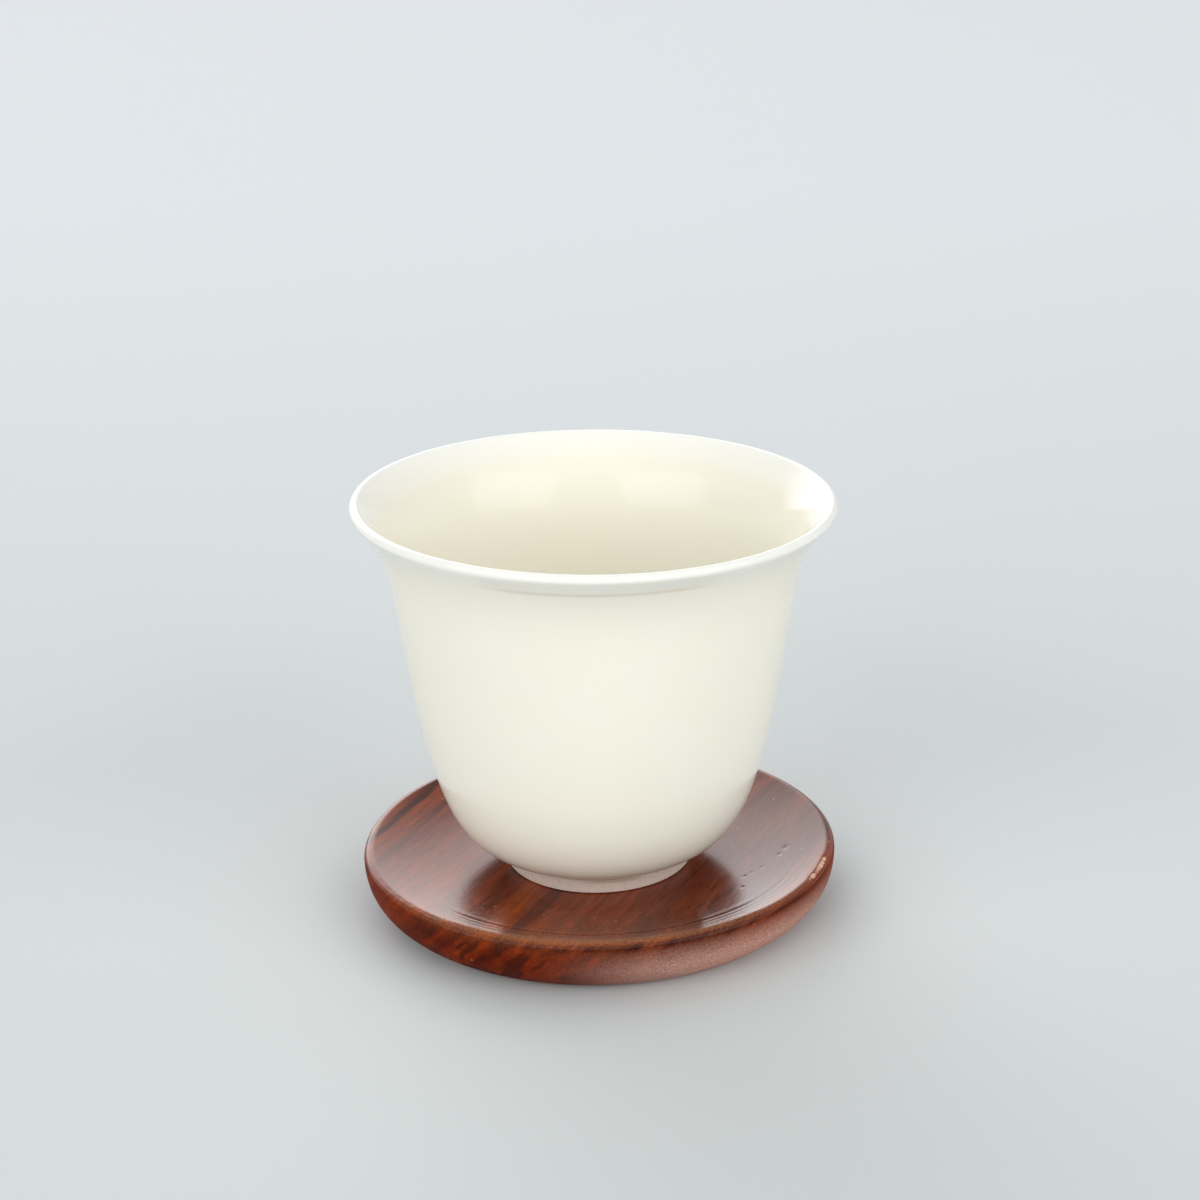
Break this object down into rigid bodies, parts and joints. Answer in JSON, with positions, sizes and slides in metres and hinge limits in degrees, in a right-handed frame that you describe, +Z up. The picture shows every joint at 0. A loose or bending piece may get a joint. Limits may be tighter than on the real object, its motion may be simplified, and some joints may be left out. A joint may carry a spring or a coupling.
{
  "type": "tea cup with saucer",
  "caption": "Flared porcelain gongfu tea cup with a small foot ring, standing in a dished saucer of turned hardwood; the cup lifts off.",
  "frame": {"origin": "middle of the saucer's flat underside, where it stands on the table", "axes": "+Z up along the common axis of saucer and cup; +X to the right and -Y towards the viewer as pictured"},
  "size_m": [0.071, 0.071, 0.0626],
  "materials": {
    "rosewood": "satin lacquer over a turned surface",
    "porcelain": "glossy ivory glaze, unglazed foot ring"
  },
  "bodies": {
    "saucer": {"saucer": "rosewood"},
    "cup": {"cup": "porcelain"}
  },
  "joints": [
    {"name": "cup_lift", "type": "slide", "parent": "saucer", "child": "cup", "axis": [0, 0, 1], "range_m": [0, 0.08]}
  ]
}
